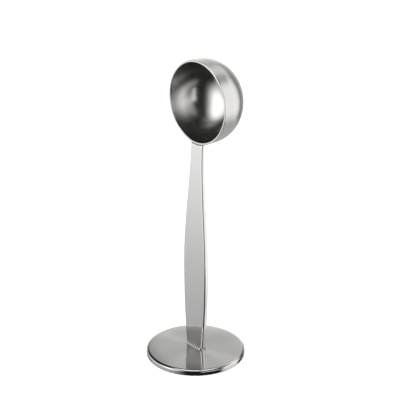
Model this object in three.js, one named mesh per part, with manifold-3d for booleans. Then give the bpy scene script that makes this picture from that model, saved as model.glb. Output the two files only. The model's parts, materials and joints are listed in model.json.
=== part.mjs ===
// Coffee scoop and tamper in one: a deep-drawn bowl on a flat handle strap, which stands on a
// round tamper disc. Millimetres, +Z up. The bowl opens towards -Y, and the origin is the centre
// of the disc's underside.
import * as THREE from "three";
import { mergeVertices } from "three/addons/utils/BufferGeometryUtils.js";
import Module from "manifold-3d";

// Tamper disc
const DISC_DIAMETER = 51;
const DISC_THICKNESS = 3.5;
const DISC_EDGE_REACH = 1.2;
const DISC_EDGE_DROP = 0.8;
const DISC_BOTTOM_ROUNDING = 0.6;

// Scoop bowl: a straight skirt behind the lip, then a dome of half-elliptic section
const BOWL_INNER_RADIUS = 19.7;
const BOWL_WALL = 1;
const BOWL_LIP_ROUNDING = 0.25;
const BOWL_SKIRT_LENGTH = 5;
const BOWL_DOME_DEPTH = 15.8;
const BOWL_RIM_SETBACK = 0.8;

// Handle strap, measured from the top of the disc
const HANDLE_LENGTH = 110.2;
const FOOT_WIDTH = 11;
const BELLY_WIDTH = 16.2;
const BELLY_HEIGHT = 46;
const NECK_WIDTH = 8.1;
const FOOT_THICKNESS = 2;
const NECK_THICKNESS = 1.5;
const STRAP_EDGE_ROUNDING = 0.6;

// Weld beads, and the seam that stays open between neighbouring pieces
const BASE_WELD_LEG = 0.7;
const BOWL_WELD_LEG = 0.7;
const SEAM = 0.3;

// Fineness of the facets
const TURNS = 72;
const DOME_STEPS = 14;
const ROUNDING_STEPS = 6;
const LIP_STEPS = 3;
const STRAP_STEPS = 36;
const CORNER_STEPS = 4;
const FACE_STEPS = 6;
const WELD_STEPS = 3;

// Places that follow from the sizes
const discRadius = DISC_DIAMETER / 2;
const bowlOuterRadius = BOWL_INNER_RADIUS + BOWL_WALL;
const foot = DISC_THICKNESS;
const belly = foot + BELLY_HEIGHT;
const neck = foot + HANDLE_LENGTH;
const bowlAxis = neck + bowlOuterRadius;
const quarterTurn = Math.PI / 2;

const wasm = await Module();
wasm.setup();

// A closed geometry as a solid that can be cut.
function solidFrom(geometry) {
  const bare = new THREE.BufferGeometry();
  bare.setAttribute("position", geometry.getAttribute("position"));
  bare.setIndex(geometry.getIndex());
  const merged = mergeVertices(bare);
  return new wasm.Manifold(
    new wasm.Mesh({
      numProp: 3,
      vertProperties: merged.attributes.position.array,
      triVerts: merged.index.array,
    }),
  );
}

// A solid's surface as a geometry.
function geometryFrom(solid) {
  const mesh = solid.getMesh();
  const geometry = new THREE.BufferGeometry();
  geometry.setAttribute("position", new THREE.BufferAttribute(mesh.vertProperties, 3));
  geometry.setIndex(new THREE.BufferAttribute(mesh.triVerts, 1));
  geometry.computeVertexNormals();
  return geometry;
}

// Points of a circular or elliptic arc, anticlockwise from one angle to another.
function arc(centreX, centreY, radius, from, to, steps, radiusY = radius) {
  const curve = new THREE.EllipseCurve(centreX, centreY, radius, radiusY, from, to);
  return curve.getPoints(steps);
}

// Points that divide the straight line between two corners of an outline, without its ends.
function pointsBetween(start, end) {
  const points = [];
  for (let step = 1; step < FACE_STEPS; step++) {
    points.push(start.clone().lerp(end, step / FACE_STEPS));
  }
  return points;
}

// A skin over closed sections of equal length, each anticlockwise seen from the end it runs to.
// A ring joins its last section to its first; anything else is capped at both ends.
function skin(sections, isRing) {
  const count = sections[0].length;
  const position = sections.flatMap((section) => section.flatMap((p) => p.toArray()));
  const index = [];
  const spans = isRing ? sections.length : sections.length - 1;
  for (let s = 0; s < spans; s++) {
    const near = s * count;
    const far = ((s + 1) % sections.length) * count;
    for (let i = 0; i < count; i++) {
      const next = (i + 1) % count;
      index.push(near + i, near + next, far + next, near + i, far + next, far + i);
    }
  }
  if (!isRing) {
    const last = (sections.length - 1) * count;
    for (let i = 1; i < count - 1; i++) {
      index.push(0, i + 1, i, last, last + i, last + i + 1);
    }
  }
  const geometry = new THREE.BufferGeometry();
  geometry.setAttribute("position", new THREE.Float32BufferAttribute(position, 3));
  geometry.setIndex(index);
  geometry.computeVertexNormals();
  return geometry;
}

// Tamper disc: a turned profile with a flat underside, a rounded rim whose top edge slopes off in
// a quarter ellipse, and a flat top.
function tamperDisc() {
  const profile = [
    new THREE.Vector2(0, 0),
    ...arc(
      discRadius - DISC_BOTTOM_ROUNDING,
      DISC_BOTTOM_ROUNDING,
      DISC_BOTTOM_ROUNDING,
      -quarterTurn,
      0,
      ROUNDING_STEPS,
    ),
    ...arc(
      discRadius - DISC_EDGE_REACH,
      DISC_THICKNESS - DISC_EDGE_DROP,
      DISC_EDGE_REACH,
      0,
      quarterTurn,
      ROUNDING_STEPS,
      DISC_EDGE_DROP,
    ),
    new THREE.Vector2(0, DISC_THICKNESS),
  ];
  return new THREE.LatheGeometry(profile, TURNS).rotateX(quarterTurn);
}

// One wall of the bowl's dome in its lathe profile, from the skirt to the axis.
function domeWall(radius, depth) {
  const points = [];
  for (let step = 0; step <= DOME_STEPS; step++) {
    const angle = (quarterTurn * step) / DOME_STEPS;
    const x = step === DOME_STEPS ? 0 : radius * Math.cos(angle);
    points.push(new THREE.Vector2(x, BOWL_SKIRT_LENGTH + depth * Math.sin(angle)));
  }
  return points;
}

// Scoop bowl: the drawn shell turned about its own axis, with a flat lip whose edges are rounded.
function scoopBowl() {
  const rounding = Math.min(BOWL_LIP_ROUNDING, BOWL_WALL / 2);
  const flatFrom = BOWL_INNER_RADIUS + rounding;
  const flatTo = bowlOuterRadius - rounding;
  const faceOn = 3 * quarterTurn;
  const inner = domeWall(BOWL_INNER_RADIUS, BOWL_DOME_DEPTH).reverse();
  const lip = [
    ...arc(flatFrom, rounding, rounding, Math.PI, faceOn, LIP_STEPS),
    ...arc(flatTo, rounding, rounding, faceOn, 2 * Math.PI, LIP_STEPS),
  ];
  const outer = domeWall(bowlOuterRadius, BOWL_DOME_DEPTH + BOWL_WALL);
  return new THREE.LatheGeometry([...inner, ...lip, ...outer], TURNS);
}

// The strap at a height: its half width, its thickness and where its front face lies. Below the
// belly the sides are parabolas. Above it they ease in to the neck, while the face bows back at
// a steady rate until it is flush with the bowl's lip.
function strapAt(z) {
  const front = -FOOT_THICKNESS / 2;
  if (z <= belly) {
    const fall = (belly - z) / BELLY_HEIGHT;
    const width = BELLY_WIDTH - (BELLY_WIDTH - FOOT_WIDTH) * fall * fall;
    return { halfWidth: width / 2, thickness: FOOT_THICKNESS, front };
  }
  const rise = Math.min((z - belly) / (neck - belly), 1);
  const ease = THREE.MathUtils.smoothstep(rise, 0, 1);
  return {
    halfWidth: THREE.MathUtils.lerp(BELLY_WIDTH, NECK_WIDTH, ease) / 2,
    thickness: THREE.MathUtils.lerp(FOOT_THICKNESS, NECK_THICKNESS, ease),
    front: front + (BOWL_RIM_SETBACK - front) * rise * rise,
  };
}

// The strap's outline at a height, moved out by an offset: a rectangle with rounded corners,
// anticlockwise from the right end of its front face.
function strapOutline(z, offset = 0) {
  const { halfWidth, thickness, front } = strapAt(z);
  const rounding = Math.min(STRAP_EDGE_ROUNDING, thickness / 2);
  const side = halfWidth - rounding;
  const radius = rounding + offset;
  const right = [
    ...arc(side, front + rounding, radius, -quarterTurn, 0, CORNER_STEPS),
    ...arc(side, front + thickness - rounding, radius, 0, quarterTurn, CORNER_STEPS),
  ];
  const left = right.map((p) => new THREE.Vector2(-p.x, p.y)).reverse();
  return [
    ...right,
    ...pointsBetween(right.at(-1), left[0]),
    ...left,
    ...pointsBetween(left.at(-1), right[0]),
  ];
}

// The part of an outline that runs from one side of the strap round its back to the other side.
function roundTheBack(outline) {
  const firstSide = CORNER_STEPS;
  const lastSide = outline.length - FACE_STEPS - CORNER_STEPS;
  return outline.slice(firstSide, lastSide + 1);
}

// Height of the skirt's underside, less the seam, at a distance from the middle of the strap.
function skirtHeight(x) {
  const reach = bowlOuterRadius + SEAM;
  return bowlAxis - Math.sqrt(reach * reach - x * x);
}

// Handle strap: a loft of its outlines from the disc up into the bowl's wall, then coped to the
// skirt's curve.
function handleStrap() {
  const end = skirtHeight(NECK_WIDTH / 2) + BOWL_WALL;
  const sections = [];
  for (let step = 0; step <= STRAP_STEPS; step++) {
    const z = THREE.MathUtils.lerp(foot, end, step / STRAP_STEPS);
    sections.push(strapOutline(z).map((p) => new THREE.Vector3(p.x, p.y, z)));
  }
  const cope = new THREE.CylinderGeometry(
    bowlOuterRadius + SEAM,
    bowlOuterRadius + SEAM,
    2 * (BOWL_RIM_SETBACK + FOOT_THICKNESS + NECK_THICKNESS),
    TURNS,
  ).translate(0, 0, bowlAxis);
  return geometryFrom(solidFrom(skin(sections, false)).subtract(solidFrom(cope)));
}

// A hollow fillet in section: distance from the strap and height above the seat, from the toe on
// the seat to the toe on the strap.
function filletCurve(leg) {
  const points = [];
  for (let step = 0; step <= WELD_STEPS; step++) {
    const angle = (quarterTurn * step) / WELD_STEPS;
    points.push({ out: leg * (1 - Math.sin(angle)), up: leg * (1 - Math.cos(angle)) });
  }
  return points;
}

// Weld bead on the disc: the fillet carried right round the strap's foot.
function baseWeld() {
  const curve = [{ out: 0, up: 0 }, ...filletCurve(BASE_WELD_LEG).reverse()];
  const lines = curve.map(({ out, up }) => {
    const line = strapOutline(foot + up, SEAM + out);
    return line.map((p) => new THREE.Vector3(p.x, p.y, foot + up));
  });
  const sections = lines[0].map((_, i) => lines.map((line) => line[i]));
  return skin(sections, true);
}

// Weld bead under the skirt: the fillet carried from one side of the strap's top end round its
// back to the other side, leaving the polished front face clean.
function bowlWeld() {
  const curve = [{ out: 0, up: 0 }, ...filletCurve(BOWL_WELD_LEG)];
  const lines = curve.map(({ out, up }) => {
    const line = roundTheBack(strapOutline(neck - up, SEAM + out));
    return line.map((p) => new THREE.Vector3(p.x, p.y, skirtHeight(p.x) - up));
  });
  const sections = lines[0].map((_, i) => lines.map((line) => line[i]));
  return skin(sections, false);
}

// One named piece of steel with the colour and roughness of its finish.
function piece(name, geometry, { color, roughness }) {
  const material = new THREE.MeshStandardMaterial({ color, roughness, metalness: 1 });
  const mesh = new THREE.Mesh(geometry, material);
  mesh.name = name;
  return mesh;
}

const SATIN = { color: 0xb9b9b7, roughness: 0.32 };
const POLISHED = { color: 0xc9c9c8, roughness: 0.08 };
const TURNED = { color: 0xbfbfbd, roughness: 0.2 };
const WELDED = { color: 0xb0b0ae, roughness: 0.25 };

const bowl = piece("scoop_bowl", scoopBowl(), SATIN);
bowl.position.set(0, BOWL_RIM_SETBACK, bowlAxis);

const coffeeScoop = new THREE.Group();
coffeeScoop.add(
  bowl,
  piece("handle_strap", handleStrap(), POLISHED),
  piece("tamper_disc", tamperDisc(), TURNED),
  piece("bowl_weld", bowlWeld(), WELDED),
  piece("base_weld", baseWeld(), WELDED),
);

export default coffeeScoop;
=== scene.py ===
"""Coffee scoop: the steel pieces' fine surfaces and finishes, and a studio to look at them in."""
import json
from typing import NamedTuple

import bmesh
import bpy
import numpy as np
from mathutils import Matrix, Vector


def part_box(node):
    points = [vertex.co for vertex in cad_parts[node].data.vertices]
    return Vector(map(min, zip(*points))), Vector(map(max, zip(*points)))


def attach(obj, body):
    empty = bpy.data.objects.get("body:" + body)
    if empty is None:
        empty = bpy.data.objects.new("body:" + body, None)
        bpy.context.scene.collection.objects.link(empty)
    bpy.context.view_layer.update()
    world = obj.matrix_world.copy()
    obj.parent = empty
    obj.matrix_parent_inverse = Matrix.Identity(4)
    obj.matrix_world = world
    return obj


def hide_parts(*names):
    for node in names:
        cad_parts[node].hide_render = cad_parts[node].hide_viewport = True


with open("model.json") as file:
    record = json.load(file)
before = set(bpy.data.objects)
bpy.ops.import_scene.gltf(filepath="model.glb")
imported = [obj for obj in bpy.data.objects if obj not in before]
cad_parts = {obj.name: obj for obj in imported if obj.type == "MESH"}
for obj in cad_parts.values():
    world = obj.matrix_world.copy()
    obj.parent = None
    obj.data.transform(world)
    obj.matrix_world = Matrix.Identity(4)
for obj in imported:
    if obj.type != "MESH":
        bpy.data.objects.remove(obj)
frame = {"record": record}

bl_info = {
    "name": "Coffee scoop",
    "version": (1, 0, 0),
    "blender": (4, 5, 0),
    "location": "3D View > Sidebar > Coffee scoop",
    "description": "A steel coffee scoop that stands on its tamper disc, with its studio",
    "category": "Object",
}

MM = 0.001
TAU = 2 * np.pi
QUARTER = np.pi / 2

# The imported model's box and the places that its nodes give
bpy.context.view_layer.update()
DISC_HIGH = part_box("tamper_disc")[1]
BOWL_LOW, BOWL_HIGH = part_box("scoop_bowl")
STRAP_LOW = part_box("handle_strap")[0]
SLOT_COLOURS = {entry["slot"]: entry["base_color"] for entry in frame["record"]["materials"]}

# Fineness of the surfaces
TURNS = 192
DOME_STEPS = 56
FLAT_STEPS = 12
ROUNDING_STEPS = 10
STRAP_STEPS = 120
FACE_STEPS = 16
BEAD_STEPS = 10
RIPPLE_STEPS = 12
MERGE_DISTANCE = 1e-7

# Powers of the bowl's two walls, and the rise of the outer wall's axis for each metre of depth
INNER_POWER = 2.32
OUTER_POWER = 2.1
BACK_RISE = 0.028

# Power of the strap's outline below its belly, and the seam and height of its coped end
LOWER_POWER = 2.4
COPE_GAP = 0.05 * MM
COPE_STRETCH = 12 * MM

# Section of a weld bead: share of the full arc, its swell, and depth of the root in the metal
BEAD_ARC = 0.62
BEAD_SWELL = 0.12
BEAD_ROOT = 0.1 * MM

# A bead along its way: depth and lean of its ripples, and the ripples over which it tapers
RIPPLE = 0.22
RIPPLE_LEAN = 0.5
TAPER_RIPPLES = 1.5

# The bead on the disc: height for its width, and how it thins out round the strap's narrow sides
BEAD_RISE = 1.6
SIDE_BEAD = 0.25
FACE_GAIN = 1.5
FACE_START = 0.4

# Rings of spun and turned steel in each metre, and the relief of the rings and the strap's waves
RINGS_PER_METRE = 9000
RING_DEPTH = 2e-5
WAVE_DEPTH = 4e-5

# The camera's film and near limit
SENSOR_WIDTH = 36
NEAR_LIMIT = 0.01


def length(name, description, default):
    """A property for a size in metres."""
    return bpy.props.FloatProperty(
        name=name, description=description, default=default, min=0, unit="LENGTH", precision=5
    )


def share(name, description, default):
    """A property for a plain number from 0 to 1."""
    return bpy.props.FloatProperty(
        name=name, description=description, default=default, min=0, max=1, subtype="FACTOR"
    )


def colour(name, description, default):
    """A property for a linear colour."""
    return bpy.props.FloatVectorProperty(
        name=name, description=description, default=default, min=0, max=1, subtype="COLOR"
    )


def angle(name, description, degrees):
    """A property for an angle, given in degrees."""
    return bpy.props.FloatProperty(
        name=name, description=description, default=np.radians(degrees), subtype="ANGLE"
    )


class ScoopSizes(bpy.types.PropertyGroup):
    """Sizes of the scoop's pieces."""

    disc_radius: length("Disc radius", "Radius of the tamper disc", DISC_HIGH.x)
    disc_thickness: length("Disc thickness", "Height of the disc", DISC_HIGH.z)
    disc_edge_reach: length("Edge reach", "Width of the disc's rounded top edge", 1.4 * MM)
    disc_edge_drop: length("Edge drop", "Height of the disc's rounded top edge", 0.9 * MM)
    disc_crown: length("Crown", "Fall of the disc's top towards its edge", 0.4 * MM)
    crown_width: length("Crown width", "Width of the ring over which the top falls", 8 * MM)
    disc_foot_rounding: length("Foot rounding", "Rounding of the disc's lower edge", 0.6 * MM)

    bowl_radius: length("Bowl radius", "Outer radius of the bowl", BOWL_HIGH.x)
    bowl_wall: length("Bowl wall", "Thickness of the bowl's sheet", 1.0 * MM)
    bowl_skirt: length("Skirt", "Straight part of the bowl behind its lip", 4.6 * MM)
    lip_rounding: length("Lip rounding", "Rounding of both edges of the lip", 0.25 * MM)

    foot_width: length("Foot width", "Width of the strap on the disc", 11.7 * MM)
    belly_width: length("Belly width", "Greatest width of the strap", 16.4 * MM)
    belly_height: length("Belly height", "Height of the widest place above the disc", 46 * MM)
    neck_width: length("Neck width", "Width of the strap at the bowl", 8.5 * MM)
    foot_thickness: length("Foot thickness", "Thickness of the strap below its belly", 2.6 * MM)
    neck_thickness: length("Neck thickness", "Thickness of the strap at the bowl", 2 * MM)
    strap_rounding: length("Strap rounding", "Depth of the strap's buffed edges", 0.7 * MM)
    strap_softness: length("Strap softness", "Width of the buffed edges on the face", 1.0 * MM)

    base_bead: length("Base bead", "Leg of the weld bead on the disc", 0.75 * MM)
    bowl_bead: length("Bowl bead", "Leg of the weld bead under the bowl", 0.8 * MM)
    bead_pitch: length("Bead pitch", "Distance between the ripples of a bead", 1.4 * MM)


class ScoopFinishes(bpy.types.PropertyGroup):
    """Colours and roughness of the steel's finishes."""

    satin_colour: colour("Satin", "Steel of the bowl", SLOT_COLOURS["satin_steel"])
    polished_colour: colour("Polished", "Steel of the strap", SLOT_COLOURS["polished_steel"])
    turned_colour: colour("Turned", "Steel of the disc", SLOT_COLOURS["turned_steel"])
    weld_colour: colour("Weld", "Steel of the beads", SLOT_COLOURS["weld_steel"])
    satin_inside: share("Satin inside", "Roughness inside the bowl", 0.21)
    satin_outside: share("Satin outside", "Roughness outside the bowl", 0.29)
    polished_roughness: share("Polish", "Roughness of the polished strap and lip", 0.05)
    turned_roughness: share("Turning", "Roughness across the disc's turning", 0.5)
    turned_share: share("Turned sheen", "Share of the turning's broad reflection", 0.32)
    weld_roughness: share("Bead", "Roughness of the weld beads", 0.16)


class ScoopStudio(bpy.types.PropertyGroup):
    """Camera, floor and light."""

    camera_azimuth: angle("Azimuth", "Camera's turn from the front", 48.8)
    camera_elevation: angle("Elevation", "Camera's height angle", 21.0)
    camera_distance: length("Distance", "Camera's distance from its target", 0.55)
    target_height: length("Target height", "Height of the camera's target", 84.83 * MM)
    target_right: length("Target right", "Target's distance right of the axis", 2.31 * MM)
    camera_lens: bpy.props.FloatProperty(
        name="Lens", description="Focal length", default=100.109, unit="CAMERA"
    )
    floor_colour: colour("Floor", "Pale floor", (0.9, 0.9, 0.9))
    floor_size: length("Floor size", "Side of the square floor", 8.0)
    floor_glow: share("Floor glow", "Light that the floor gives to the camera", 0.8)
    room_level: share("Room", "Brightness of the dark side of the studio", 0.015)


def arc(centre, radii, start, end, steps):
    """Points of an ellipse about a centre, from one angle to another."""
    turn = np.linspace(start, end, steps + 1)
    return np.stack([centre[0] + radii[0] * np.cos(turn), centre[1] + radii[1] * np.sin(turn)], 1)


def straight(start, end, steps):
    """Points that divide a straight line, without its ends."""
    along = np.linspace(0, 1, steps + 1)[1:-1, None]
    return np.asarray(start) + along * (np.asarray(end) - np.asarray(start))


def path_length(points):
    """Distance along a row of points, from its first point."""
    steps = np.linalg.norm(np.diff(points, axis=0), axis=1)
    return np.concatenate([[0], np.cumsum(steps)])


def smooth_step(x):
    """Zero below 0, one above 1, and 3x² - 2x³ between."""
    x = np.clip(x, 0, 1)
    return x * x * (3 - 2 * x)


def add_surface(name, points, across, along, node, material, marks=None):
    """Make a closed piece from a grid of points.

    Rows of the grid run along the surface, and columns run round it with the last column on the
    first. The corners that fall together at poles and seams are merged. The UV map named finish
    holds each column's place across and each row's place along. Marks are attributes with one
    value for each row.
    """
    rows, columns = points.shape[:2]
    corner = np.arange(rows * columns).reshape(rows, columns)
    faces = np.stack(
        [corner[:-1, :-1], corner[:-1, 1:], corner[1:, 1:], corner[1:, :-1]], axis=-1
    ).reshape(-1, 4)
    mesh = bpy.data.meshes.new(name)
    mesh.from_pydata(points.reshape(-1, 3).tolist(), [], faces.tolist())
    uv = np.stack(np.broadcast_arrays(across[None, :], along[:, None]), axis=-1).reshape(-1, 2)
    mesh.uv_layers.new(name="finish").data.foreach_set("uv", uv[faces.ravel()].ravel())
    for mark, values in (marks or {}).items():
        spread = np.broadcast_to(values[:, None], (rows, columns)).ravel()
        layer = mesh.attributes.new(mark, "FLOAT", "POINT")
        layer.data.foreach_set("value", np.ascontiguousarray(spread, dtype=np.float32))
    edit = bmesh.new()
    edit.from_mesh(mesh)
    bmesh.ops.remove_doubles(edit, verts=edit.verts, dist=MERGE_DISTANCE)
    edit.to_mesh(mesh)
    edit.free()
    mesh.shade_smooth()
    mesh.materials.append(material)
    piece = bpy.data.objects.new(name, mesh)
    bpy.context.collection.objects.link(piece)
    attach(piece, "root")
    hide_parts(node)
    return piece


def dome(radius, depth, skirt, power):
    """Radius and depth of a wall from its pole to its straight skirt.

    A superellipse: the radius as a share of the whole radius and the depth behind the skirt as a
    share of the whole depth there add up to 1 when both are raised to the power.
    """
    turn = np.linspace(QUARTER, 0, DOME_STEPS + 1)
    out, back = np.cos(turn) ** (2 / power), np.sin(turn) ** (2 / power)
    return np.stack([radius * out, skirt + (depth - skirt) * back], 1)


def bowl_profile(sizes):
    """Radius and depth behind the lip, from the inner pole round the lip to the outer pole.

    Each wall is a superellipse, the outer one with a straight skirt, and the lip is flat with
    both its edges rounded. Also returns which points belong to the lip and which lie outside.
    """
    wall, skirt, edge = sizes.bowl_wall, sizes.bowl_skirt, sizes.lip_rounding
    outer = sizes.bowl_radius
    inner = outer - wall
    depth = BOWL_HIGH.y - BOWL_LOW.y
    inside = dome(inner, depth - wall, edge, INNER_POWER)[:-1]
    lip = np.concatenate([
        arc((inner + edge, edge), (edge, edge), np.pi, 1.5 * np.pi, ROUNDING_STEPS),
        straight((inner + edge, 0), (outer - edge, 0), FLAT_STEPS),
        arc((outer - edge, edge), (edge, edge), -QUARTER, 0, ROUNDING_STEPS),
    ])
    outer_skirt = straight((outer, edge), (outer, skirt), FLAT_STEPS)
    outside = dome(outer, depth, skirt, OUTER_POWER)[::-1]
    parts = [inside, lip, outer_skirt, outside]
    counts = [len(part) for part in parts]
    is_lip = np.repeat([0, 1, 0, 0], counts).astype(float)
    is_outside = np.repeat([0, 0, 1, 1], counts).astype(float)
    profile = np.concatenate(parts)
    profile[[0, -1], 0] = 0
    return profile, is_lip, is_outside


def bowl_surface(profile, is_outside):
    """The profile carried round the bowl's axis, which runs along Y at the bowl's mid height.

    A point at radius r, depth d and turn t lies at (r sin t, lip + d, axis + r cos t). The outer
    wall's axis rises a little with the depth, so its back sits slightly up.
    """
    turn = np.linspace(0, TAU, TURNS + 1)
    radius, depth = profile[:, :1], profile[:, 1:]
    axis = (BOWL_LOW.z + BOWL_HIGH.z) / 2 + BACK_RISE * depth * is_outside[:, None]
    return np.stack(
        np.broadcast_arrays(
            radius * np.sin(turn), BOWL_LOW.y + depth, axis + radius * np.cos(turn)
        ),
        axis=-1,
    )


def disc_profile(sizes):
    """Radius and height from the middle of the disc's underside round its edge to its top.

    The lower edge is a quarter circle and the upper edge a quarter ellipse. Over its outer ring
    the top falls with the square of the distance. Also returns which points belong to the edge.
    """
    radius, top = sizes.disc_radius, sizes.disc_thickness
    foot, reach, drop = sizes.disc_foot_rounding, sizes.disc_edge_reach, sizes.disc_edge_drop
    underside = np.concatenate([[[0, 0]], straight((0, 0), (radius - foot, 0), FLAT_STEPS)])
    edge = np.concatenate([
        arc((radius - foot, foot), (foot, foot), -QUARTER, 0, ROUNDING_STEPS),
        straight((radius, foot), (radius, top - drop), FLAT_STEPS),
        arc((radius - reach, top - drop), (reach, drop), 0, QUARTER, 3 * ROUNDING_STEPS),
    ])
    flat = radius - sizes.crown_width
    upper = np.concatenate([
        straight((radius - reach, top), (flat, top), 3 * FLAT_STEPS),
        straight((flat, top), (0, top), FLAT_STEPS),
        [[0, top]],
    ])
    parts = [underside, edge, upper]
    is_edge = np.repeat([0, 1, 0], [len(part) for part in parts]).astype(float)
    profile = np.concatenate(parts)
    beyond = np.clip((profile[:, 0] - flat) / sizes.crown_width, 0, 1)
    profile[:, 1] -= sizes.disc_crown * beyond**2 * (profile[:, 1] > foot)
    return profile, is_edge


def disc_surface(profile):
    """The profile carried round the upright axis: (r cos t, r sin t, height)."""
    turn = np.linspace(0, TAU, TURNS + 1)
    radius, height = profile[:, :1], profile[:, 1:]
    return np.stack(
        np.broadcast_arrays(radius * np.cos(turn), radius * np.sin(turn), height), axis=-1
    )


def strap_at(z, sizes):
    """Half width, thickness and front face of the strap at each height.

    Below the belly the width falls off with a power of the distance from it. Above the belly
    width and thickness ease to the neck's by the smooth step, and the front face bows back with
    the square of the rise until it is flush with the bowl's lip.
    """
    foot, neck = STRAP_LOW.z, BOWL_LOW.z
    belly = foot + sizes.belly_height
    fall = np.clip((belly - z) / sizes.belly_height, 0, 1)
    rise = np.clip((z - belly) / (neck - belly), 0, 1)
    ease = smooth_step(rise)
    low_width = sizes.belly_width - (sizes.belly_width - sizes.foot_width) * fall**LOWER_POWER
    width = low_width + (sizes.neck_width - sizes.belly_width) * ease
    thickness = sizes.foot_thickness + (sizes.neck_thickness - sizes.foot_thickness) * ease
    front = STRAP_LOW.y
    return width / 2, thickness, front + (BOWL_LOW.y - front) * rise**2


def strap_corner_turns():
    """Turn of each corner point of the strap's outline, and the corner that it belongs to.

    The points run anticlockwise from the right end of the front face. Corners are given as signs
    of X and Y.
    """
    quarter = np.linspace(0, QUARTER, ROUNDING_STEPS + 1)
    turn = np.concatenate([quarter + start for start in (-QUARTER, 0, QUARTER, np.pi)])
    count = ROUNDING_STEPS + 1
    sign_x = np.repeat([1, 1, -1, -1], count)
    sign_y = np.repeat([-1, 1, 1, -1], count)
    return turn, sign_x, sign_y


def strap_outline(z, sizes):
    """Points of the strap's rounded rectangle at each height, with the last on the first.

    Each corner is a quarter ellipse that reaches farther along the wide face, and the wide faces
    are divided so that they can follow the bowl's curve. Returns X and Y with one row for each
    height.
    """
    half, thickness, front = (np.asarray(value)[:, None] for value in strap_at(z, sizes))
    turn, sign_x, sign_y = strap_corner_turns()
    depth, reach = np.minimum(sizes.strap_rounding, thickness / 2), sizes.strap_softness
    middle = front + thickness / 2
    x = sign_x * (half - reach) + reach * np.cos(turn)
    y = middle + sign_y * (thickness / 2 - depth) + depth * np.sin(turn)
    back_from, back_to = 2 * ROUNDING_STEPS + 1, 2 * ROUNDING_STEPS + 2
    face = np.linspace(0, 1, FACE_STEPS + 1)[1:-1]
    back_x = x[:, [back_from]] + face * (x[:, [back_to]] - x[:, [back_from]])
    back_y = y[:, [back_from]] + 0 * face
    front_x = x[:, [-1]] + face * (x[:, [0]] - x[:, [-1]])
    front_y = y[:, [-1]] + 0 * face
    x = np.concatenate([x[:, :back_to], back_x, x[:, back_to:], front_x, x[:, :1]], axis=1)
    y = np.concatenate([y[:, :back_to], back_y, y[:, back_to:], front_y, y[:, :1]], axis=1)
    return x, y


def under_bowl(x, sizes, gap=0.0):
    """Height of the bowl's skirt at a distance from the strap's middle, less a gap.

    The skirt is a circle about the bowl's axis, and the gap is added to its radius.
    """
    axis = (BOWL_LOW.z + BOWL_HIGH.z) / 2
    reach = sizes.bowl_radius + gap
    return axis - np.sqrt(reach**2 - x**2)


def strap_surface(sizes):
    """The outline lofted from the disc to the bowl, with its top end coped to the skirt.

    Over the last stretch each point is lifted by the skirt's height above its place, less the
    height at the middle, times the smooth step. Both ends are closed on the strap's middle plane.
    """
    foot, top = STRAP_LOW.z, under_bowl(0.0, sizes, COPE_GAP)
    z = np.linspace(foot, top, STRAP_STEPS + 1)
    x, y = strap_outline(z, sizes)
    share_of_cope = smooth_step((z - (top - COPE_STRETCH)) / COPE_STRETCH)[:, None]
    lift = under_bowl(x, sizes, COPE_GAP) - top
    sides = np.stack([x, y, z[:, None] + share_of_cope * lift], axis=-1)
    ends = sides[[0, -1]].copy()
    ends[:, :, 1] = ends[:, :, 1].mean(axis=1, keepdims=True)
    return np.concatenate([ends[:1], sides, ends[1:]])


def strap_seam(z, sizes):
    """The strap's outline at a height as rows of X, Y and the outward normal's X and Y.

    The normal is square to the line between a point's two neighbours.
    """
    x, y = (row[0] for row in strap_outline(np.array([z]), sizes))
    ahead_x = np.roll(x[:-1], -1) - np.roll(x[:-1], 1)
    ahead_y = np.roll(y[:-1], -1) - np.roll(y[:-1], 1)
    turn = np.arctan2(-ahead_x, ahead_y)
    turn = np.append(turn, turn[0])
    return np.stack([x, y, np.cos(turn), np.sin(turn)], 1)


def refine(values, step):
    """Rows of values along a path, filled in so that its points lie a step apart or closer."""
    way = path_length(values[:, :2])
    count = int(np.ceil(way[-1] / step))
    fine = np.linspace(0, way[-1], count + 1)
    return np.stack([np.interp(fine, way, column) for column in values.T], axis=1)


def bead_section(leg):
    """Distance out and height of a weld bead in section, from its toe on the seat to the strap.

    A mean of a quarter circle and its chord, in which the circle counts most half way up.
    """
    turn = np.linspace(0, QUARTER, BEAD_STEPS + 1)
    arc_share = BEAD_ARC + BEAD_SWELL * np.sin(2 * turn)
    chord_share = 1 - arc_share
    out = leg * np.cos(turn) * arc_share + leg * (1 - turn / QUARTER) * chord_share
    up = leg * np.sin(turn) * arc_share + leg * turn / QUARTER * chord_share
    return out, up


def bead_ripple(way, pitch, rows):
    """Scale of a bead for each row of its section and each place along its way.

    Each puddle is a sine along the way, and leans on by half a pitch from the toe to the strap.
    """
    lean = np.linspace(0, RIPPLE_LEAN, rows)[:, None]
    return 1 + RIPPLE * np.sin(TAU * (way / pitch + lean))


def carry_bead(seam, out, up, scale):
    """X, Y and rise of a bead whose section is scaled and carried along a seam.

    The section is closed through a root that lies a little way in the strap and its seat. The
    root keeps its depth, and what stands out of the metal takes the scale.
    """
    scale = np.concatenate([scale, scale[[-1, 0, 0]]])
    out = np.concatenate([out, [-BEAD_ROOT, -BEAD_ROOT, out[0]]])[:, None]
    up = np.concatenate([up, [up[-1], -BEAD_ROOT, up[0]]])[:, None]
    reach = np.maximum(out, 0) * scale + np.minimum(out, 0)
    rise = np.maximum(up, 0) * scale + np.minimum(up, 0)
    return seam[:, 0] + reach * seam[:, 2], seam[:, 1] + reach * seam[:, 3], rise


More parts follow.
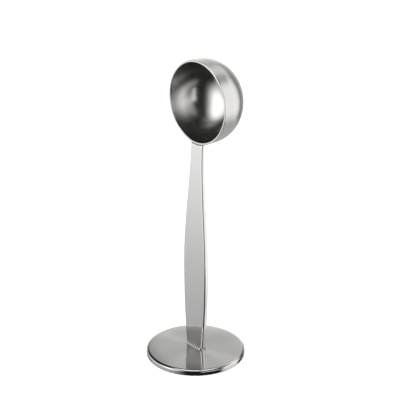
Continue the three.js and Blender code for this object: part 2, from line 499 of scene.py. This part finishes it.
def base_bead_surface(sizes):
    """The bead's section carried round the strap's foot, rippled by its scale along the way.

    The bead thins out where the strap's outline turns from its wide faces to its narrow sides.
    """
    foot = STRAP_LOW.z
    seam = refine(strap_seam(foot, sizes), sizes.bead_pitch / RIPPLE_STEPS)
    way = path_length(seam[:, :2])
    ripples = np.round(way[-1] / sizes.bead_pitch)
    out, up = bead_section(sizes.base_bead)
    on_face = smooth_step(FACE_GAIN * np.abs(seam[:, 3]) - FACE_START)
    thinning = SIDE_BEAD + (1 - SIDE_BEAD) * on_face
    scale = bead_ripple(way, way[-1] / ripples, len(out)) * thinning
    x, y, rise = carry_bead(seam, out, up * BEAD_RISE, scale)
    return np.stack([x, y, foot + rise], axis=-1), way


def bowl_bead_surface(sizes):
    """The bead's section carried from one side of the strap's top end round its back.

    The section hangs from the skirt, so its height is measured down from the skirt's curve, and
    the bead tapers to nothing at both ends.
    """
    outline = strap_seam(under_bowl(0.0, sizes), sizes)
    sides_and_back = outline[ROUNDING_STEPS : -(FACE_STEPS + ROUNDING_STEPS)]
    seam = refine(sides_and_back, sizes.bead_pitch / RIPPLE_STEPS)
    way = path_length(seam[:, :2])
    taper = smooth_step(np.minimum(way, way[-1] - way) / (TAPER_RIPPLES * sizes.bead_pitch))
    out, up = bead_section(sizes.bowl_bead)
    scale = bead_ripple(way, sizes.bead_pitch, len(out)) * taper
    x, y, drop = carry_bead(seam, out, up, scale)
    surface = np.stack([x, y, under_bowl(x, sizes) - drop], axis=-1)
    return surface[::-1], way


class Nodes:
    """Shorthand for building one node tree."""

    def __init__(self, tree):
        self.tree = tree
        tree.nodes.clear()

    def add(self, kind, inputs=None, **settings):
        """Add a node, set its properties, and fill its inputs with values or other sockets."""
        node = self.tree.nodes.new(kind)
        for name, value in settings.items():
            setattr(node, name, value)
        for name, value in (inputs or {}).items():
            socket = node.inputs[name]
            if isinstance(value, bpy.types.NodeSocket):
                self.tree.links.new(value, socket)
            else:
                socket.default_value = value
        return node

    def maths(self, operation, *values):
        """Add a maths node and return its result."""
        return self.add("ShaderNodeMath", dict(enumerate(values)), operation=operation).outputs[0]

    def spread(self, value, low, high, to_low, to_high, smooth=False):
        """Map a value from one range to another."""
        kind = "SMOOTHSTEP" if smooth else "LINEAR"
        ends = {"From Min": low, "From Max": high, "To Min": to_low, "To Max": to_high}
        node = self.add("ShaderNodeMapRange", {"Value": value, **ends}, interpolation_type=kind)
        return node.outputs["Result"]

    def noise(self, vector, stretch, detail, roughness):
        """Add noise that is stretched by a factor along each axis, and return its value."""
        mapping = self.add("ShaderNodeMapping", {"Vector": vector, "Scale": stretch})
        inputs = {"Vector": mapping.outputs[0], "Detail": detail, "Roughness": roughness}
        return self.add("ShaderNodeTexNoise", {"Scale": 1.0, **inputs}).outputs["Fac"]

    def mark(self, name):
        """Read one of the piece's own attributes."""
        return self.add("ShaderNodeAttribute", attribute_name=name).outputs["Fac"]

    def bump(self, strength, distance, height):
        """Add relief and return the normal."""
        inputs = {"Strength": strength, "Distance": distance, "Height": height}
        return self.add("ShaderNodeBump", inputs).outputs[0]

    def tinted(self, base, pattern, depth):
        """A colour that darkens by a small depth where a pattern is low."""
        dark = [channel * (1 - depth) for channel in base]
        inputs = {"Factor": pattern, "A": (*dark, 1), "B": (*base, 1)}
        return self.add("ShaderNodeMix", inputs, data_type="RGBA").outputs["Result"]

    def rings(self, streaks):
        """Fine rings of spun or turned steel, in so many streaks on the way round the axis."""
        uv = self.add("ShaderNodeUVMap", uv_map="finish").outputs["UV"]
        return self.noise(uv, (streaks, RINGS_PER_METRE, 1), 3, 0.7)

    def round_the_axis(self):
        """Tangent that runs round the axis of a spun or turned piece."""
        return self.add("ShaderNodeTangent", direction_type="UV_MAP", uv_map="finish").outputs[0]

    def metal(self, inputs):
        """Add a metal shader and return it."""
        return self.add("ShaderNodeBsdfPrincipled", {"Metallic": 1.0, **inputs}).outputs[0]

    def show(self, shader):
        """Send a shader to the material's output."""
        self.add("ShaderNodeOutputMaterial", {"Surface": shader})


def new_material(name):
    """A material with an empty node tree."""
    material = bpy.data.materials.new(name)
    material.use_nodes = True
    return material, Nodes(material.node_tree)


def satin_bowl_steel(finishes):
    """Spun satin steel: fine rings round the bowl's axis, with a polished lip."""
    material, nodes = new_material("satin_bowl_steel")
    rings = nodes.rings(9)
    outside = nodes.mark("outside")
    plain = nodes.spread(outside, 0, 1, finishes.satin_inside, finishes.satin_outside)
    grain = nodes.maths("ADD", nodes.spread(rings, 0.3, 0.7, -0.05, 0.05), plain)
    roughness = nodes.add("ShaderNodeMix", {
        "Factor": nodes.mark("lip"), "A": grain, "B": finishes.polished_roughness
    })
    nodes.show(nodes.metal({
        "Base Color": nodes.tinted(finishes.satin_colour, rings, 0.08),
        "Roughness": roughness.outputs["Result"],
        "Normal": nodes.bump(nodes.spread(outside, 0, 1, 0.042, 0.12), RING_DEPTH, rings),
        "Tangent": nodes.round_the_axis(),
        "Anisotropic": 0.4,
        "Anisotropic Rotation": 0.25,
    }))
    return material


def polished_strap_steel(finishes):
    """Mirror-polished steel with faint hairlines along the strap."""
    material, nodes = new_material("polished_strap_steel")
    place = nodes.add("ShaderNodeTexCoord").outputs["Object"]
    hairs = nodes.noise(place, (7000, 7000, 60), 2, 0.6)
    waves = nodes.noise(place, (60, 60, 25), 1, 0.5)
    low = finishes.polished_roughness
    nodes.show(nodes.metal({
        "Base Color": nodes.tinted(finishes.polished_colour, hairs, 0.03),
        "Roughness": nodes.spread(hairs, 0.3, 0.7, low * 0.8, low * 1.3),
        "Normal": nodes.bump(0.25, WAVE_DEPTH, waves),
    }))
    return material


def turned_disc_steel(finishes):
    """Polished steel over fine concentric turning.

    A sharp reflection is mixed with a broad one, which the turning draws out along the radius.
    The edge has the sharp one alone.
    """
    material, nodes = new_material("turned_disc_steel")
    rings = nodes.rings(5)
    edge = nodes.mark("edge")
    surface = {
        "Base Color": nodes.tinted(finishes.turned_colour, rings, 0.06),
        "Normal": nodes.bump(nodes.spread(edge, 0, 1, 0.04, 0.0), RING_DEPTH, rings),
    }
    polish = nodes.metal({**surface, "Roughness": finishes.polished_roughness})
    sheen = nodes.metal({
        **surface,
        "Roughness": finishes.turned_roughness,
        "Tangent": nodes.round_the_axis(),
        "Anisotropic": 1.0,
        "Anisotropic Rotation": 0.25,
    })
    part = nodes.spread(edge, 0, 1, finishes.turned_share, 0)
    nodes.show(nodes.add("ShaderNodeMixShader", {0: part, 1: polish, 2: sheen}).outputs[0])
    return material


def weld_bead_steel(finishes):
    """Bright weld metal, a little uneven."""
    material, nodes = new_material("weld_bead_steel")
    place = nodes.add("ShaderNodeTexCoord").outputs["Object"]
    grain = nodes.noise(place, (2500, 2500, 2500), 3, 0.6)
    low = finishes.weld_roughness
    nodes.show(nodes.metal({
        "Base Color": nodes.tinted(finishes.weld_colour, grain, 0.12),
        "Roughness": nodes.spread(grain, 0.3, 0.7, low * 0.7, low * 1.4),
    }))
    return material


class SCOOP_OT_bowl(bpy.types.Operator):
    """Make the spun bowl in satin steel"""

    bl_idname = "scoop.bowl"
    bl_label = "Scoop bowl"

    def execute(self, context):
        sizes, finishes = context.scene.scoop_sizes, context.scene.scoop_finishes
        profile, is_lip, is_outside = bowl_profile(sizes)
        add_surface(
            "spun_bowl", bowl_surface(profile, is_outside), np.linspace(0, 1, TURNS + 1),
            path_length(profile), "scoop_bowl", satin_bowl_steel(finishes),
            {"lip": is_lip, "outside": is_outside},
        )
        return {"FINISHED"}


class SCOOP_OT_strap(bpy.types.Operator):
    """Make the polished handle strap"""

    bl_idname = "scoop.strap"
    bl_label = "Handle strap"

    def execute(self, context):
        sizes, finishes = context.scene.scoop_sizes, context.scene.scoop_finishes
        surface = strap_surface(sizes)
        columns = np.linspace(0, 1, surface.shape[1])
        add_surface(
            "polished_strap", surface, columns, path_length(surface[:, 0]),
            "handle_strap", polished_strap_steel(finishes),
        )
        return {"FINISHED"}


class SCOOP_OT_disc(bpy.types.Operator):
    """Make the turned tamper disc"""

    bl_idname = "scoop.disc"
    bl_label = "Tamper disc"

    def execute(self, context):
        sizes, finishes = context.scene.scoop_sizes, context.scene.scoop_finishes
        profile, is_edge = disc_profile(sizes)
        add_surface(
            "turned_disc", disc_surface(profile), np.linspace(0, 1, TURNS + 1),
            path_length(profile), "tamper_disc", turned_disc_steel(finishes),
            {"edge": is_edge},
        )
        return {"FINISHED"}


class SCOOP_OT_beads(bpy.types.Operator):
    """Make the rippled weld beads at both ends of the strap"""

    bl_idname = "scoop.beads"
    bl_label = "Weld beads"

    def execute(self, context):
        sizes, finishes = context.scene.scoop_sizes, context.scene.scoop_finishes
        material = weld_bead_steel(finishes)
        base, base_way = base_bead_surface(sizes)
        add_surface(
            "base_bead", base, base_way, np.linspace(0, 1, len(base)),
            "base_weld", material,
        )
        under, under_way = bowl_bead_surface(sizes)
        add_surface(
            "bowl_bead", under, under_way, np.linspace(0, 1, len(under)),
            "bowl_weld", material,
        )
        return {"FINISHED"}


def place_camera(context, studio):
    """Stand the camera at its azimuth and elevation about the target, without roll."""
    turn, rise = studio.camera_azimuth, studio.camera_elevation
    back = Vector((np.sin(turn) * np.cos(rise), -np.cos(turn) * np.cos(rise), np.sin(rise)))
    right = Vector((np.cos(turn), np.sin(turn), 0))
    up = back.cross(right)
    target = Vector((0, 0, studio.target_height)) + studio.target_right * right
    camera = bpy.data.objects.new("camera", bpy.data.cameras.new("camera"))
    camera.data.lens = studio.camera_lens
    camera.data.sensor_width = SENSOR_WIDTH
    camera.data.clip_start = NEAR_LIMIT
    turned = Matrix((right, up, back)).transposed().to_4x4()
    camera.matrix_world = Matrix.Translation(target + studio.camera_distance * back) @ turned
    context.collection.objects.link(camera)
    context.scene.camera = camera


def lay_floor(context, studio):
    """A pale floor that the camera sees as white, with the scoop's shadow on it."""
    half = studio.floor_size / 2
    corners = [(-half, -half, 0), (half, -half, 0), (half, half, 0), (-half, half, 0)]
    mesh = bpy.data.meshes.new("floor")
    mesh.from_pydata(corners, [], [(0, 1, 2, 3)])
    material, nodes = new_material("pale_floor")
    matt = nodes.add("ShaderNodeBsdfDiffuse", {"Color": (*studio.floor_colour, 1)})
    path = nodes.add("ShaderNodeLightPath")
    strength = nodes.maths("MULTIPLY", path.outputs["Is Camera Ray"], studio.floor_glow)
    glow = nodes.add("ShaderNodeEmission", {"Color": (1, 1, 1, 1), "Strength": strength})
    both = nodes.add("ShaderNodeAddShader", {0: matt.outputs[0], 1: glow.outputs[0]})
    nodes.show(both.outputs[0])
    mesh.materials.append(material)
    floor = bpy.data.objects.new("floor", mesh)
    floor.visible_glossy = False
    context.collection.objects.link(floor)


class Panel(NamedTuple):
    """A soft panel of light: where it stands, its half size and soft edge in degrees, its level."""

    azimuth: float
    elevation: float
    half_width: float
    half_height: float
    feather: float
    level: float


# The studio's panels, as seen from the scoop with azimuth 0 at its front
PANELS = {
    "left_softbox": Panel(-14, 13, 20, 34, 25, 2.31),
    "left_table": Panel(-60, -4, 21, 20, 25, 1.59),
    "right_softbox": Panel(139.5, 4.5, 26, 36, 9, 1.35),
    "right_front": Panel(82, -6.5, 21, 18.5, 2, 1.11),
    "sweep": Panel(-135, 20, 13, 23, 8, 0.73),
    "sweep_low": Panel(-131, -5, 40, 23, 14, 0.75),
    "back_light": Panel(186, 46, 24, 11, 18, 1.35),
    "sweep_floor": Panel(-125, -56.5, 107.5, 26, 2, 0.54),
    "top_light": Panel(-130, 90, 360, 24, 5, 1.3),
}

# The panels that are the pale backdrop, which only shows in the metal
BACKDROP = {"sweep", "sweep_low", "sweep_floor"}


def panel_light(nodes, azimuth, elevation, panel):
    """Light of one panel by direction: its level inside, falling to nothing over its soft edge."""
    aside = nodes.maths("WRAP", nodes.maths("SUBTRACT", azimuth, panel.azimuth), 180.0, -180.0)
    above = nodes.maths("SUBTRACT", elevation, panel.elevation)
    light = panel.level
    for away, half in ((aside, panel.half_width), (above, panel.half_height)):
        near, far = half - panel.feather, half + panel.feather
        inside = nodes.spread(nodes.maths("ABSOLUTE", away), near, far, 1, 0, smooth=True)
        light = nodes.maths("MULTIPLY", inside, light)
    return light


def light_studio(context, studio):
    """Light the studio by direction and show white to the camera.

    Softboxes stand left and right of the camera, lights hang overhead and behind the scoop, the
    white sweep lies behind and under it, and the rest of the room is dark. Only mirrored and
    transmitted rays see the sweep, so it shows in the metal and adds no light to the floor.
    """
    world = bpy.data.worlds.new("studio")
    world.use_nodes = True
    nodes = Nodes(world.node_tree)
    direction = nodes.add("ShaderNodeTexCoord").outputs["Generated"]
    axes = nodes.add("ShaderNodeSeparateXYZ", {"Vector": direction}).outputs
    ahead = nodes.maths("MULTIPLY", axes["Y"], -1.0)
    azimuth = nodes.maths("DEGREES", nodes.maths("ARCTAN2", axes["X"], ahead))
    elevation = nodes.maths("DEGREES", nodes.maths("ARCSINE", axes["Z"]))
    path = nodes.add("ShaderNodeLightPath").outputs
    mirrored = nodes.maths("MAXIMUM", path["Is Glossy Ray"], path["Is Transmission Ray"])
    studio_light = studio.room_level
    for name, panel in PANELS.items():
        light = panel_light(nodes, azimuth, elevation, panel)
        if name in BACKDROP:
            light = nodes.maths("MULTIPLY", light, mirrored)
        studio_light = nodes.maths("ADD", studio_light, light)
    strength = nodes.add("ShaderNodeMix", {
        "Factor": path["Is Camera Ray"], "A": studio_light, "B": 1.0
    }).outputs["Result"]
    glow = nodes.add("ShaderNodeBackground", {"Color": (1, 1, 1, 1), "Strength": strength})
    nodes.add("ShaderNodeOutputWorld", {"Surface": glow.outputs[0]})
    context.scene.world = world


class SCOOP_OT_stage(bpy.types.Operator):
    """Set up the camera, the floor and the light"""

    bl_idname = "scoop.stage"
    bl_label = "Studio"

    def execute(self, context):
        studio = context.scene.scoop_studio
        place_camera(context, studio)
        lay_floor(context, studio)
        light_studio(context, studio)
        context.scene.view_settings.view_transform = "Standard"
        return {"FINISHED"}


class SCOOP_PT_panel(bpy.types.Panel):
    """Sidebar panel that lists the scoop's sizes, finishes, studio and operators."""

    bl_idname = "SCOOP_PT_panel"
    bl_label = "Coffee scoop"
    bl_space_type = "VIEW_3D"
    bl_region_type = "UI"
    bl_category = "Coffee scoop"

    def draw(self, context):
        scene = context.scene
        for group in (scene.scoop_sizes, scene.scoop_finishes, scene.scoop_studio):
            box = self.layout.box()
            for name in group.bl_rna.properties.keys():
                if name not in {"rna_type", "name"}:
                    box.prop(group, name)
        for operator in OPERATORS:
            self.layout.operator(operator.bl_idname)


OPERATORS = (SCOOP_OT_bowl, SCOOP_OT_strap, SCOOP_OT_disc, SCOOP_OT_beads, SCOOP_OT_stage)
CLASSES = (ScoopSizes, ScoopFinishes, ScoopStudio, *OPERATORS, SCOOP_PT_panel)


def register():
    """Register the classes and give the scene its groups of properties."""
    for kind in CLASSES:
        bpy.utils.register_class(kind)
    bpy.types.Scene.scoop_sizes = bpy.props.PointerProperty(type=ScoopSizes)
    bpy.types.Scene.scoop_finishes = bpy.props.PointerProperty(type=ScoopFinishes)
    bpy.types.Scene.scoop_studio = bpy.props.PointerProperty(type=ScoopStudio)


def unregister():
    """Take the groups of properties off the scene and unregister the classes."""
    del bpy.types.Scene.scoop_sizes
    del bpy.types.Scene.scoop_finishes
    del bpy.types.Scene.scoop_studio
    for kind in reversed(CLASSES):
        bpy.utils.unregister_class(kind)


def main():
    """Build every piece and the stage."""
    register()
    bpy.ops.scoop.bowl()
    bpy.ops.scoop.strap()
    bpy.ops.scoop.disc()
    bpy.ops.scoop.beads()
    bpy.ops.scoop.stage()


if __name__ == "__main__":
    main()
